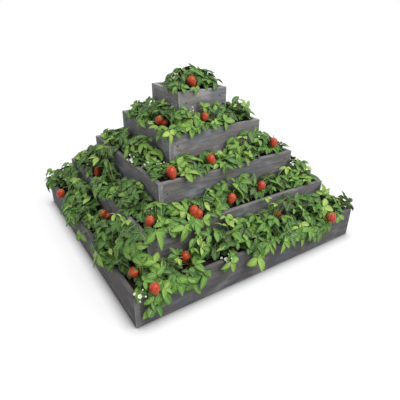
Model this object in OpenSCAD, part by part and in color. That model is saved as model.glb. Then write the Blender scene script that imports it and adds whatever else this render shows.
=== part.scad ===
// Five-tier pyramid planter: stacked square board frames filled with compost and strawberry plants.
// The origin is the centre of the base on the ground. The front is the -Y face and +Z is up.

/* [Frames] */
// Side of the lowest frame, over its boards
base_side = 1200; // [1100:10:1500]
// Side of the top frame, over its boards
top_side = 260; // [240:5:320]
// Height of a board, and so of a tier
board_h = 145; // [130:5:180]
// Thickness of a board
board_t = 20; // [16:1:26]
// Width of the eased edge along a board
edge_ease = 1.5; // [0.5:0.25:3]

/* [Corner posts and screws] */
// Side of the square post in each inside corner
post_side = 38; // [30:1:44]
// Distance from the top of the boards down to a post's top
post_drop = 25; // [20:1:40]
// Diameter of a screw's shank
screw_d = 4.5; // [3.5:0.5:6]
// Diameter of a screw's countersunk head
screw_head_d = 9; // [7.5:0.5:11]
// Length of a screw with its head
screw_len = 45; // [35:5:50]
// Play round a screw in its hole
screw_play = 0.05; // [0.02:0.01:0.2]
// Height of the lower screw of a pair above the board's bottom edge
screw_low = 25; // [20:1:40]
// Distance from the post's top down to the highest screw
screw_high = 11; // [8:1:20]
// How much higher the screws from one side enter a post than those from the other side
screw_stagger = 14; // [10:1:18]

/* [Compost] */
// Depth of the compost's surface below the rim
fill_gap = 15; // [8:1:18]

/* [Plants] */
// Plants along one side of the lowest tier, each tier above having one fewer
plants_low = 5; // [5:1:6]
// Diameter of a plant's crown and root stub
crown_d = 18; // [14:1:20]
// Height of a crown above the compost
crown_h = 8; // [5:1:12]
// Depth of a root stub in the compost
root_depth = 30; // [20:5:60]
// Play round a root stub in its hole
root_play = 0.1; // [0.05:0.05:0.5]
// Thickness of a leaf stalk
stalk_d = 2.6; // [2:0.2:3.4]
// Length of a leaflet
leaflet_len = 55; // [48:1:58]
// Width of a leaflet
leaflet_w = 27; // [22:1:32]
// Thickness of a leaf
leaf_t = 1.2; // [0.8:0.1:2]
// Angle between the leaflets of a leaf
leaflet_angle = 65; // [60:1:70]

/* [Fruit and flowers] */
// Largest diameter of a fruit of usual size
fruit_d = 44; // [38:1:48]
// Length of a fruit of usual size
fruit_len = 50; // [44:1:56]
// Lean of a fruit's tip away from the crown, from straight down
fruit_lean = 35; // [20:5:50]
// Length of a sepal of the calyx
sepal_len = 13; // [10:1:16]
// Thickness of a fruit stalk and of a flower stalk
fruit_stalk_d = 2.2; // [1.8:0.2:3]
// Diameter of a flower
flower_d = 26; // [20:1:30]
// Lean of a flower away from the crown, from straight up
flower_lean = 40; // [20:5:60]
// Least clearance between a leaf and a fruit or flower
leaf_room = 3; // [2:0.5:6]

/* [Hidden] */
tiers = 5;
sides = ["front", "right", "back", "left"];
tier_parts = ["corner_posts", "screws", "compost", "plants", "fruit", "flowers"];
boards = [for (s = sides) str(s, "_board")];

wood = "#6a6568";
side_step = (base_side - top_side) / (tiers - 1);
// Seat of a screw's head: depth of the countersink below the board's face
head_h = (screw_head_d - screw_d) / 2;
slot_w = 1.2;
slot_deep = 1.6;
post_h = board_h - post_drop;
fill_h = board_h - fill_gap;

// Each leaf: bearing from straight outwards, reach and height of its hub from the crown, how far
// it droops, and its size. Every other plant is the mirror image of its neighbour.
leaves = [
    [0, 60, 34, 46, 1],
    [50, 62, 38, 24, 1],
    [-50, 62, 42, 26, 1],
    [84, 64, 46, 8, 0.95],
    [-84, 60, 50, 10, 0.95],
    [22, 30, 76, 6, 0.95],
    [-42, 36, 66, 10, 0.9],
    [128, 16, 76, -34, 0.82],
    [-155, 8, 72, -52, 0.8]
];
// A leaf that has no room at its place is turned aside or raised by these amounts
leaf_shifts = [[0, 0], [0, 20], [20, 0], [-20, 0], [20, 20], [-20, 20]];

// Each fruit: tier, side, plant on that side, then bearing, reach and height of the fruit's middle
// from the crown, and its size. The opposite side of the pyramid has the same fruit, but for those of
// the right side, which stand alone.
fruit_spots = [
    [1, 3, 1, 8, 78, 44, 1.1], [1, 3, 3, -157, 25, 84, 1], [1, 0, 0, -88, 36, 52, 1],
    [1, 0, 0, 48, 90, 44, 1], [1, 0, 1, -90, 28, 56, 1], [1, 0, 3, 110, 64, 84, 0.95],
    [1, 0, 4, 45, 132, 38, 1.15],
    [2, 0, 3, -77, 90, 60, 1], [2, 0, 2, -62, 66, 50, 1], [2, 0, 1, -48, 50, 38, 1.05],
    [2, 3, 1, 50, 36, 32, 1], [2, 0, 0, -22, 30, 48, 0.95],
    [3, 0, 1, 6, 40, 56, 1], [3, 1, 0, -82, 50, 66, 1], [3, 0, 0, 53, 44, 42, 1.15],
    [4, 0, 0, -118, 84, 34, 1], [4, 0, 1, -62, 44, 56, 0.9],
    [5, 0, 0, 90, 38, 48, 1.1]
];

// Each flower: tier, side, plant, bearing, reach and height, on the opposite sides in the same way
flower_spots = [
    [1, 0, 0, 15, 112, 41], [1, 0, 2, -104, 76, 42], [1, 0, 2, -52, 112, 24], [1, 1, 0, 150, 40, 76],
    [2, 3, 1, -50, 52, 53], [2, 0, 0, -130, 40, 60], [3, 0, 0, -94, 88, 44], [3, 0, 0, -138, 50, 44],
    [3, 3, 2, 20, 80, 40], [3, 0, 2, 130, 28, 78], [4, 0, 1, -104, 88, 72], [4, 3, 1, -75, 28, 74],
    [4, 1, 0, 110, 24, 72], [5, 0, 0, -70, 40, 62]
];

function side_of(k) = base_side - (k - 1) * side_step;
function floor_of(k) = (k - 1) * board_h;
function inner_of(k) = side_of(k) - 2 * board_t;
// Distance from the centre to the middle of a tier's planting strip
function ring_of(k) = (inner_of(k) + (k < tiers ? side_of(k + 1) : 2 * crown_d)) / 4;
function plants_of(k) = plants_low + 1 - k;
function swung(q, a) = [q[0] * cos(a) - q[1] * sin(a), q[0] * sin(a) + q[1] * cos(a)];
function turned(p, s) = let (q = swung(p, 90 * s)) [q[0], q[1], p[2]];
function heading(b) = [sin(b), -cos(b), 0];
function across(b) = [cos(b), sin(b), 0];

// A plant's crown on the front side, and the way that it faces: a corner plant faces the corner
function crown_at(k, j) = [2 * ring_of(k) * j / plants_of(k) - ring_of(k), -ring_of(k), floor_of(k) + fill_h];
function faces(j) = j == 0 ? -45 : 0;
function spot(k, j, b, reach, up) = crown_at(k, j) + heading(b + faces(j)) * reach + [0, 0, up];

// Places on a leaf: down the middle and along both edges of its three leaflets
function on_leaflets(size) = [
    for (a = [-1:1], t = [0.2:0.16:1.01], e = (t < 1 ? [-1:1] : [0:0]))
        size * swung([t * leaflet_len, 2 * e * leaflet_w * t * (1 - t)], a * leaflet_angle)
];
// A leaf stalk rises from the crown's top, on the leaf's own side, to the hub
function stalk_foot(k, j, l) = spot(k, j, l[0], crown_d / 4, crown_h / 2);
function on_leaf_stalk(k, j, l) = let (a = stalk_foot(k, j, l), b = spot(k, j, l[0], l[1], l[2]))
    [for (t = [0.2:0.2:0.9]) a + t * (b - a)];
function on_leaf(k, j, l, q) = spot(k, j, l[0], l[1], l[2])
    + q[0] * (cos(l[3]) * heading(l[0] + faces(j)) - [0, 0, sin(l[3])]) + q[1] * across(l[0] + faces(j));

function across_from(f) = [for (i = [0:len(f) - 1]) i == 1 ? (f[1] + 2) % 4 : f[i]];
function mirrored(spots) = concat(spots, [for (f = spots) if (f[1] != 1) across_from(f)]);
all_fruit = mirrored(fruit_spots);
all_flowers = mirrored(flower_spots);

// A fruit's own axis, from its tip to its calyx, and the places along it
function fruit_axis(f) = cos(fruit_lean) * [0, 0, 1] - sin(fruit_lean) * heading(f[3] + faces(f[2]));
function fruit_mid(f) = spot(f[0], f[2], f[3], f[4], f[5]);
function fruit_top(f) = fruit_mid(f) + fruit_axis(f) * f[6] * fruit_len * cos(cap_angle) / 2;
function nearest(p, a, b) = let (v = b - a) a + max(0, min(1, (p - a) * v / (v * v))) * v;
// Half angle of the flat at a fruit's shoulder, where the calyx sits
cap_angle = 14;
leaf_gap = 2;
fruit_core = 0.35;
stalk_taper = 0.92;
flower_neck = 7;
function flower_axis(f) = cos(flower_lean) * [0, 0, 1] + sin(flower_lean) * heading(f[3] + faces(f[2]));
function flower_mid(f) = spot(f[0], f[2], f[3], f[4], f[5]);

// What a leaf keeps clear of in a tier: a round body along the core of each fruit and flower
keep_clear = [for (k = [1:tiers]) concat(
    [for (f = all_fruit) if (f[0] == k) let (core = fruit_core * (fruit_top(f) - fruit_mid(f)))
        [turned(fruit_mid(f) + core, f[1]), turned(fruit_mid(f) - core, f[1]), f[6] * fruit_d / 2]],
    [for (f = all_flowers) if (f[0] == k)
        [turned(flower_mid(f), f[1]), turned(flower_mid(f) - [0, 0, 1], f[1]), flower_d / 2]]
)];
function off_fruit(k, p) = min([
    for (c = keep_clear[k - 1]) norm(p - nearest(p, c[0], c[1])) - c[2]
]) > leaf_room;
// Clear of the frame above, of the rim and of the compost
function off_frame(k, p) = let (m = max(abs(p[0]), abs(p[1])), up = p[2] - floor_of(k))
    (k == tiers || m > side_of(k + 1) / 2 + leaf_gap)
    && (up > board_h + leaf_gap || m > side_of(k) / 2 + leaf_gap
        || (m < inner_of(k) / 2 - leaf_gap && up > fill_h + leaf_gap));
// Nearer to its own crown than to the plants on either side
function off_neighbours(k, j, p) = let (own = level(p - crown_at(k, j)) + leaf_gap)
    own < level(p - crown_at(k, j + 1)) && own < level(p - crown_before(k, j));
function crown_before(k, j) = j > 0 ? crown_at(k, j - 1) : turned(crown_at(k, plants_of(k) - 1), 3);
function level(v) = norm([v[0], v[1]]);
function has_room(k, s, j, l) = len([
    for (q = on_leaflets(l[4])) let (p = on_leaf(k, j, l, q))
        if (!(off_frame(k, p) && off_neighbours(k, j, p) && off_fruit(k, turned(p, s)))) p
]) == 0 && len([for (p = on_leaf_stalk(k, j, l)) if (!off_fruit(k, turned(p, s))) p]) == 0;
function shifted(l, d, j) = let (m = j % 2 == 0 ? 1 : -1) [m * (l[0] + d[0]), l[1], l[2] + d[1], l[3], l[4]];
// The first of a leaf's shifted places that has room, or none
function placed(k, s, j, l, i = 0) = i == len(leaf_shifts) ? []
    : let (m = shifted(l, leaf_shifts[i], j)) has_room(k, s, j, m) ? [m] : placed(k, s, j, l, i + 1);
function leaves_of(k, s, j) = [for (l = leaves) each placed(k, s, j, l)];

// A stalk from a to b, four-sided, run on a little past b so that what comes next joins it
module stalk(a, b, d, past = 0) {
    v = b - a;
    translate(a) rotate([0, acos(v[2] / norm(v)), atan2(v[1], v[0])])
        cylinder(h = norm(v) + past, d = d, $fn = 4);
}

// A stalk along several points, each length a little thinner than the one before
module bent_stalk(points, d) {
    for (i = [1:len(points) - 1])
        stalk(points[i - 1], points[i], d * pow(stalk_taper, i - 1), i < len(points) - 1 ? d / 2 : 0);
}

// A board's section with its four long edges eased
module board_section() {
    e = edge_ease;
    polygon([
        [e, 0], [board_t - e, 0], [board_t, e], [board_t, board_h - e],
        [board_t - e, board_h], [e, board_h], [0, board_h - e], [0, e]
    ]);
}

// Each side of a frame is the front turned by quarter turns. A board stops one thickness short at
// one end, where it meets the inner face of its neighbour.
module on_side(k, s) {
    rotate([0, 0, 90 * s]) translate([0, -side_of(k) / 2, floor_of(k)]) children();
}

// Screw places on one side: [along the side, height], two at each end of the board, near the post's
// foot and near its top
function screw_places(k) = [
    for (e = [-1, 1], up = [screw_low, post_h - screw_high - screw_stagger]) [
        e * (inner_of(k) - post_side) / 2,
        up + (e > 0 ? screw_stagger : 0)
    ]
];

module screw_body(play) {
    rotate([-90, 0, 0]) {
        cylinder(h = head_h + play, d1 = screw_head_d + 2 * play, d2 = screw_d, $fn = 32);
        cylinder(h = screw_len + play, d = screw_d + 2 * play, $fn = 32);
    }
}

module board(k, s) {
    color(wood) on_side(k, s) difference() {
        translate([side_of(k) / 2, 0, 0]) mirror([1, 0, 0]) rotate([90, 0, 90])
            linear_extrude(height = side_of(k) - board_t) board_section();
        for (p = screw_places(k)) translate([p[0], 0, p[1]]) screw_body(screw_play);
    }
}

module corner_posts(k) {
    color("#8a7458") for (s = [0:3]) difference() {
        on_side(k, s) translate([-inner_of(k) / 2, board_t, 0]) cube([post_side, post_side, post_h]);
        for (t = [s, s + 3]) on_side(k, t) for (p = screw_places(k))
            translate([p[0], 0, p[1]]) screw_body(screw_play);
    }
}

module screws(k) {
    color("#4c4a48") for (s = [0:3]) on_side(k, s) for (p = screw_places(k)) translate([p[0], 0, p[1]])
        difference() {
            screw_body(0);
            for (a = [0, 90]) rotate([0, a, 0])
                translate([-screw_d / 2, -1, -slot_w / 2]) cube([screw_d, 1 + slot_deep, slot_w]);
        }
}

module compost(k) {
    color("#2b2119") difference() {
        union() {
            translate([-inner_of(k) / 2, -inner_of(k) / 2, floor_of(k)])
                cube([inner_of(k), inner_of(k), fill_h]);
            if (k < tiers) translate([-side_of(k + 1) / 2, -side_of(k + 1) / 2, floor_of(k)])
                cube([side_of(k + 1), side_of(k + 1), board_h]);
        }
        for (s = [0:3]) on_side(k, s) translate([-inner_of(k) / 2, board_t, 0])
            cube([post_side, post_side, post_h]);
        for (s = [0:3], j = [0:plants_of(k) - 1]) rotate([0, 0, 90 * s]) translate(crown_at(k, j))
            translate([0, 0, -root_depth])
                cylinder(h = root_depth + 1, d = crown_d + 2 * root_play, $fn = 32);
    }
}

// A three-part leaf's outline, round its hub: foot, edge, tip and edge of each leaflet
function leaf_outline(size) = [
    for (a = leaflet_angle * [-1, 0, 1], q = [[0.1, -0.08], [0.55, -0.5], [1, 0], [0.55, 0.5], [0.1, 0.08]])
        if (a == leaflet_angle || q[1] != 0.08) size * swung([q[0] * leaflet_len, q[1] * leaflet_w], a)
];

module leaf(k, j, l) {
    hub = spot(k, j, l[0], l[1], l[2]);
    stalk(stalk_foot(k, j, l), hub, stalk_d, leaf_t / 2);
    translate(hub) rotate([0, 0, l[0] + faces(j) - 90]) rotate([0, l[3], 0])
        linear_extrude(height = leaf_t) polygon(leaf_outline(l[4]));
}

module calyx(size) {
    linear_extrude(height = leaf_t) polygon([
        for (i = [0:15]) size * (i % 2 == 0 ? sepal_len : 0.5 * sepal_len) * [cos(22.5 * i), sin(22.5 * i)]
    ]);
}

// The stalk of a fruit rises beside the crown, bends over above the fruit and comes down to its calyx
module fruit_stalk(f) {
    over = fruit_top(f) + fruit_axis(f) * 10;
    bend = over - heading(f[3] + faces(f[2])) * 8 + [0, 0, 4];
    knee = [bend[0], bend[1], max(bend[2], floor_of(f[0]) + board_h + 3 * fruit_stalk_d)];
    bent_stalk([crown_at(f[0], f[2]) + [0, 0, crown_h / 2], knee, over, fruit_top(f)], fruit_stalk_d);
    translate(fruit_top(f)) rotate([0, 0, f[3] + faces(f[2]) - 90]) rotate([0, -fruit_lean, 0]) calyx(f[6]);
}

module flower_stalk(f) {
    neck = flower_mid(f) - flower_axis(f) * flower_neck;
    knee = spot(f[0], f[2], f[3], 0.6 * f[4], max(f[5], fill_gap + 4 * fruit_stalk_d));
    bent_stalk([crown_at(f[0], f[2]) + [0, 0, crown_h / 2], knee, neck, flower_mid(f)], fruit_stalk_d);
}

module plants(k) {
    color("#4f8f35") for (s = [0:3], j = [0:plants_of(k) - 1]) rotate([0, 0, 90 * s]) {
        translate(crown_at(k, j) - [0, 0, root_depth])
            cylinder(h = root_depth + crown_h, d = crown_d, $fn = 32);
        for (l = leaves_of(k, s, j)) leaf(k, j, l);
        for (f = all_fruit) if (f[0] == k && f[1] == s && f[2] == j) fruit_stalk(f);
        for (f = all_flowers) if (f[0] == k && f[1] == s && f[2] == j) flower_stalk(f);
    }
}

// A fruit's outline from its shoulder to its tip
function fruit_profile(size) = concat(
    [[0, size * fruit_len * cos(cap_angle) / 2]],
    [for (a = [cap_angle:(180 - cap_angle) / 8:180.01]) size * [
        fruit_d * sin(a) * (0.53 + 0.14 * cos(a)) / 1.1, fruit_len * cos(a) / 2
    ]]
);

module fruit(k) {
    color("#c8261c") for (f = all_fruit) if (f[0] == k) rotate([0, 0, 90 * f[1]]) translate(fruit_mid(f))
        rotate([0, 0, f[3] + faces(f[2]) - 90]) rotate([0, -fruit_lean, 0])
            rotate_extrude($fn = 32) polygon(fruit_profile(f[6]));
}

module flowers(k) {
    petals = 5;
    color("#f4f2e8") for (f = all_flowers) if (f[0] == k) rotate([0, 0, 90 * f[1]]) translate(flower_mid(f))
        rotate([0, 0, f[3] + faces(f[2]) - 90]) rotate([0, flower_lean, 0]) {
            linear_extrude(height = leaf_t) polygon([
                for (i = [0:2 * petals - 1]) (i % 2 == 0 ? 0.5 : 0.22) * flower_d
                    * [cos(180 * i / petals), sin(180 * i / petals)]
            ]);
            cylinder(h = 3, d = 0.3 * flower_d, $fn = 24);
        }
}

module tier_part(k, p) {
    if (p == "corner_posts") corner_posts(k);
    if (p == "screws") screws(k);
    if (p == "compost") compost(k);
    if (p == "plants") plants(k);
    if (p == "fruit") fruit(k);
    if (p == "flowers") flowers(k);
}

for (k = [1:tiers]) {
    for (s = [0:3]) board(k, s);
    for (p = tier_parts) tier_part(k, p);
}
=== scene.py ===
# A five-tier pyramid planter of grey boards, planted with strawberries, on a pale studio floor.
# Sizes are in metres, +Z is up, and the front of the planter faces -Y.
import math

import bmesh
import bpy
import numpy as np
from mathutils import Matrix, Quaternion, Vector, noise


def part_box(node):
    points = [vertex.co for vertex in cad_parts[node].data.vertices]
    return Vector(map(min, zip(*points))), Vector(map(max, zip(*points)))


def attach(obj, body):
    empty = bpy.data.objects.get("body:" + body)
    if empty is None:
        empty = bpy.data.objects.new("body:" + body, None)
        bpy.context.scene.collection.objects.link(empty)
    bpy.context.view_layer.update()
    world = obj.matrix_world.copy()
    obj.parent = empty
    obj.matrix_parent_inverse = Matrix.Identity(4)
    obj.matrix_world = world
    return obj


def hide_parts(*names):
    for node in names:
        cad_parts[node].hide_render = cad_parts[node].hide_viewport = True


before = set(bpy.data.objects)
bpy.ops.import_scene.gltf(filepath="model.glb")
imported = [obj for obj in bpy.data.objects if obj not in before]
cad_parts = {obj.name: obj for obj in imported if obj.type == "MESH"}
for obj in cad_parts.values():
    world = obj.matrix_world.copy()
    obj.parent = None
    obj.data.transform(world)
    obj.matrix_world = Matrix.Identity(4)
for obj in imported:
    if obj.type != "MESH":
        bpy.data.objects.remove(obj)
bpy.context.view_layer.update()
mm = 0.001

# Camera
# The planter is seen from a metre and a bit above the floor, past its front left corner, looking
# down on it.
eye = Vector((-0.954, -1.557, 1.068))
aim = Vector((0.0187, -0.0807, 0.1329))
roll = math.radians(0.48)
camera = bpy.data.objects.new("camera", bpy.data.cameras.new("camera"))
bpy.context.scene.collection.objects.link(camera)
bpy.context.scene.camera = camera
camera.data.lens = 33.43
camera.data.sensor_width = 36
camera.location = eye
level_look = (aim - eye).to_track_quat("-Z", "Y")
camera.rotation_euler = (level_look @ Quaternion((0, 0, 1), roll)).to_euler()

# Light
# A large soft lamp stands to the front and right, above the planter, and a pale sky fills in the rest,
# so the front boards are lit and the left ones are in soft shade.
sun = bpy.data.objects.new("sun", bpy.data.lights.new("sun", "SUN"))
bpy.context.scene.collection.objects.link(sun)
sun.data.energy = 2.3
sun.data.angle = math.radians(50)
sun.rotation_euler = Vector((0.3, -0.6, 0.74)).to_track_quat("Z", "Y").to_euler()
bpy.context.scene.view_settings.view_transform = "Standard"
sky = bpy.data.worlds.new("sky")
bpy.context.scene.world = sky
sky.use_nodes = True


class Shade:
    """A socket in a material's node tree, which sums can be written with."""

    def __init__(self, tree, socket=None):
        self.tree = tree
        self.socket = socket

    def node(self, kind, settings=None, inputs=None, output=0):
        """Adds a node, makes its settings first, then fills or links its sockets."""
        made = self.tree.nodes.new("ShaderNode" + kind)
        for name, value in (settings or {}).items():
            if name == "stops":
                stops = made.color_ramp.elements
                while len(stops) < len(value):
                    stops.new(0.5)
                for stop, (place, colour) in zip(stops, value):
                    stop.position = place
                    stop.color = colour
            else:
                setattr(made, name, value)
        for name, value in (inputs or {}).items():
            if isinstance(value, Shade):
                self.tree.links.new(value.socket, made.inputs[name])
            else:
                made.inputs[name].default_value = value
        return Shade(self.tree, made.outputs[output])

    def maths(self, operation, first, second=0.0):
        return self.node("Math", {"operation": operation}, {0: first, 1: second})

    def __add__(self, other):
        return self.maths("ADD", self, other)

    def __sub__(self, other):
        return self.maths("SUBTRACT", self, other)

    def __rsub__(self, other):
        return self.maths("SUBTRACT", other, self)

    def __mul__(self, other):
        return self.maths("MULTIPLY", self, other)

    def __abs__(self):
        return self.maths("ABSOLUTE", self)

    __radd__ = __add__
    __rmul__ = __mul__

    def step(self, low, high):
        """0 below low and 1 above high, with a soft slope between."""
        ranges = {"From Min": low, "From Max": high}
        return self.node("MapRange", {"interpolation_type": "SMOOTHSTEP"}, {"Value": self, **ranges})

    def mix(self, low, high):
        """The colour low where this is 0 and high where it is 1."""
        return self.node("Mix", {"data_type": "RGBA"}, {0: self, 6: low, 7: high}, 2)

    def feed(self, node, name):
        self.tree.links.new(self.socket, node.inputs[name])

    def here(self):
        """The place on the piece."""
        return self.node("TexCoord", output="Object")

    def atlas(self):
        return self.node("UVMap", {"uv_map": "OFBake"})

    def part(self, axis):
        return self.node("SeparateXYZ", inputs={0: self}, output=axis)

    def cloud(self, scale, detail=2, roughness=0.5):
        """Soft random patches, at the places that this gives."""
        look = {"Scale": scale, "Detail": detail, "Roughness": roughness}
        return self.node("TexNoise", inputs={"Vector": self, **look})

    def watched(self):
        """1 for what the camera sees, itself or mirrored, and 0 for what only gives light."""
        rays = [self.node("LightPath", output=f"Is {kind} Ray") for kind in ("Camera", "Glossy")]
        return self.maths("MAXIMUM", *rays)


def rgb(red, green, blue):
    """A colour from its screen values of 0 to 255."""
    shares = (red / 255, green / 255, blue / 255)
    return (*(s / 12.92 if s < 0.04045 else ((s + 0.055) / 1.055) ** 2.4 for s in shares), 1)


bare_sky = sky.node_tree.nodes["Background"]
bare_sky.inputs["Color"].default_value = rgb(255, 255, 255)
(0.58 + 0.42 * Shade(sky.node_tree).watched()).feed(bare_sky, "Strength")


# Floor
# A plain white sweep. The planter's shadow on it is a painted shadow: ambient occlusion dims the floor's
# white glow, darkest in a narrow band close to the boards and fading out softly from there.
def material(name, **constants):
    """A new material, its Principled shader and a start for its nodes."""
    made = bpy.data.materials.new(name)
    made.use_nodes = True
    shader = made.node_tree.nodes["Principled BSDF"]
    for socket, value in constants.items():
        shader.inputs[socket.replace("_", " ")].default_value = value
    return made, shader, Shade(made.node_tree)


shadow_band = 60 * mm
floor_paint, floor_shader, floor_nodes = material("floor_paint", Roughness=0.9, Emission_Strength=1)
floor_seen = floor_nodes.watched()
open_sky = floor_nodes.node("AmbientOcclusion", {"samples": 16}, {"Distance": shadow_band}, 1)
# Painted shadow: the share of the floor's glow that is left where the boards stand close
glow_left_by_painted_shadow = floor_nodes.maths("POWER", floor_nodes.maths("MAXIMUM", open_sky * 2 - 1, 0.02), 0.6)
floor_seen.mix(rgb(165, 165, 165), rgb(137, 137, 137)).feed(floor_shader, "Base Color")
(floor_seen * glow_left_by_painted_shadow).mix(rgb(0, 0, 0), rgb(225, 225, 225)).feed(floor_shader, "Emission Color")
bpy.ops.mesh.primitive_plane_add(size=60, location=(0, 0, -0.5 * mm))
studio_floor = bpy.context.object
studio_floor.name = "studio_floor"
studio_floor.data.materials.append(floor_paint)

# Boards
# Planed boards, stained grey and weathered, paler the higher they stand, where the lower tiers' darker
# grey is painted shade. The grain runs along each board, the top faces and the outer corners are paler
# still as painted highlight, and each board's end grain shows at one corner.
tiers = range(1, 6)
# The sides' boards run along X, which is axis 0, or along Y, which is axis 1
sides = {"front": 0, "right": 1, "back": 0, "left": 1}
# Each tier's stain, as a screen value of 0 to 255, with painted shade that darkens the lower tiers
stain_greys_with_painted_shade = {1: 96, 2: 114, 3: 122, 4: 134, 5: 142}


def board_material(name, along, shift, grey, half, pale_end):
    """One board's stained wood, with the grain along an axis, shifted so that no two boards are alike."""
    made, shader, start = material(name, Specular_IOR_Level=0.3)
    place = start.here()
    blue_stain = rgb(grey - 3, grey, grey + 6)
    brown_stain = rgb(grey + 6, grey + 1, grey - 1)
    dark_grain = rgb(0.58 * grey, 0.58 * grey, 0.59 * grey)
    # Pale wood for paler patches, fibres and end grain, and the colour of the painted highlight on the top
    # faces and the outer corner
    pale_wood_and_highlight = rgb(1.42 * grey, 1.42 * grey, 1.4 * grey)

    def streaks(length, width, detail):
        scale = [1 / width] * 3
        scale[along] = 1 / length
        stretched = place.node("Mapping", inputs={"Vector": place, "Location": shift, "Scale": scale})
        return stretched.cloud(1, detail, 0.62)

    grain = streaks(120 * mm, 8 * mm, 5)
    fibre = streaks(50 * mm, 2 * mm, 3)
    cloud = streaks(90 * mm, 40 * mm, 3)
    tint = streaks(160 * mm, 60 * mm, 2)
    facing = start.node("NewGeometry", output="Normal")
    end_grain = abs(facing.part(along)).step(0.6, 0.9)
    # Painted highlight: a narrow band along the outer corner, and the faces that look up, are paler as if
    # light caught them
    out_x, out_y = [abs(place.part(i)) for i in (0, 1)]
    corner_highlight_band = half - 4 * mm, half - mm
    corner = out_x.step(*corner_highlight_band) * out_y.step(*corner_highlight_band)
    top_highlight = facing.part(2).step(0.5, 0.9)
    colour = tint.step(0.4, 0.6).mix(blue_stain, brown_stain)
    colour = (grain.step(0.6, 0.36) * 0.5).mix(colour, dark_grain)
    colour = (cloud.step(0.6, 0.36) * 0.3).mix(colour, dark_grain)
    colour = (cloud.step(0.5, 0.72) * 0.4).mix(colour, pale_wood_and_highlight)
    colour = (fibre.step(0.5, 0.8) * 0.4).mix(colour, pale_wood_and_highlight)
    ring_size = {"Vector": place, "Scale": 60, "Distortion": 3}
    rings = start.node("TexWave", {"wave_type": "RINGS"}, ring_size, 1)
    # The end grain's paleness is the wood's own; the top faces' and the outer corner's is painted
    # highlight
    pale_end_grain_and_highlights = (top_highlight * 0.4 + end_grain * (pale_end + 0.15 * rings) + corner * 0.7) * (0.6 + 0.5 * grain)
    colour = pale_end_grain_and_highlights.mix(colour, pale_wood_and_highlight)
    colour.feed(shader, "Base Color")
    (0.6 + 0.25 * grain).feed(shader, "Roughness")
    relief = {"Strength": 0.5, "Distance": 0.8 * mm, "Height": grain * 0.7 + fibre * 0.5}
    start.node("Bump", inputs=relief).feed(shader, "Normal")
    return made


def refinish(name, finish):
    """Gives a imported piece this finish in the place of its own."""
    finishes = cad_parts[name].data.materials
    finishes.clear()
    finishes.append(finish)


for tier in tiers:
    for number, (side, along) in enumerate(sides.items()):
        name = f"tier_{tier}_{side}_board"
        shift = (1.7 * tier + 0.6 * number, 2.3 * number + 0.9 * tier, 0.7 * tier * number)
        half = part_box(f"tier_{tier}_right_board")[1].x
        pale_end = 0.4 if tier == 1 else 0.1
        refinish(name, board_material(name, along, shift, stain_greys_with_painted_shade[tier], half, pale_end))

# Corner posts and screws
# Sawn square posts inside the corners take the countersunk screws, which are coated a dull grey.
post_wood, post_shader, post_nodes = material("post_wood", Roughness=0.85)
post_streaks = {"Vector": post_nodes.here(), "Scale": (260, 260, 14)}
sawn = post_nodes.node("Mapping", inputs=post_streaks).cloud(1, 4)
sawn.step(0.3, 0.7).mix(rgb(142, 114, 84), rgb(186, 158, 122)).feed(post_shader, "Base Color")
post_nodes.node("Bump", inputs={"Height": sawn, "Distance": mm}).feed(post_shader, "Normal")

screw_steel, screw_shader, screw_nodes = material("screw_steel", Metallic=0.6)
tarnish = screw_nodes.here().cloud(420, 3)
tarnish.step(0.35, 0.7).mix(rgb(84, 80, 84), rgb(110, 98, 92)).feed(screw_shader, "Base Color")
(0.4 + 0.3 * tarnish).feed(screw_shader, "Roughness")
for tier in tiers:
    for part, finish in (("corner_posts", post_wood), ("screws", screw_steel)):
        refinish(f"tier_{tier}_{part}", finish)

# Compost
# Each frame is filled with dark, crumbly compost to a little below its rim, and up to the rim under the
# next frame, which stands on it. Crumbs lie on it.
dice = np.random.default_rng(7)
bed_step = 6 * mm
clod_height = 5 * mm
# Crumbs on each square metre of open compost, and how many more lie on each tier
crumb_density = 800
spare_crumbs = 60

right_boards = {tier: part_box(f"tier_{tier}_right_board") for tier in tiers}
board_thickness = right_boards[1][1].x - right_boards[1][0].x
rim_drop = right_boards[5][1].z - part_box("tier_5_compost")[1].z


def outer_half(tier):
    return right_boards[tier][1].x


def inner_half(tier):
    return outer_half(tier) - board_thickness


def next_half(tier):
    return outer_half(tier + 1) if tier < 5 else 0


def rim(tier):
    return right_boards[tier][1].z


def soil(tier):
    return rim(tier) - rim_drop


def lumps(x, y):
    """How far the compost's surface rises above its level at a place."""
    return clod_height * (
        0.7 * noise.noise(Vector((x * 30, y * 30, 1))) + 0.4 * noise.noise(Vector((x * 110, y * 110, 5)))
    )


def ball(steps):
    """A unit ball from a cube's faces: points and four-sided faces."""
    shape = bmesh.new()
    bmesh.ops.create_cube(shape, size=2)
    bmesh.ops.subdivide_edges(shape, edges=shape.edges, cuts=steps - 1, use_grid_fill=True)
    places = np.array([v.co.normalized() for v in shape.verts])
    quads = np.array([[v.index for v in f.verts] for f in shape.faces])
    shape.free()
    return places, quads


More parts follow.
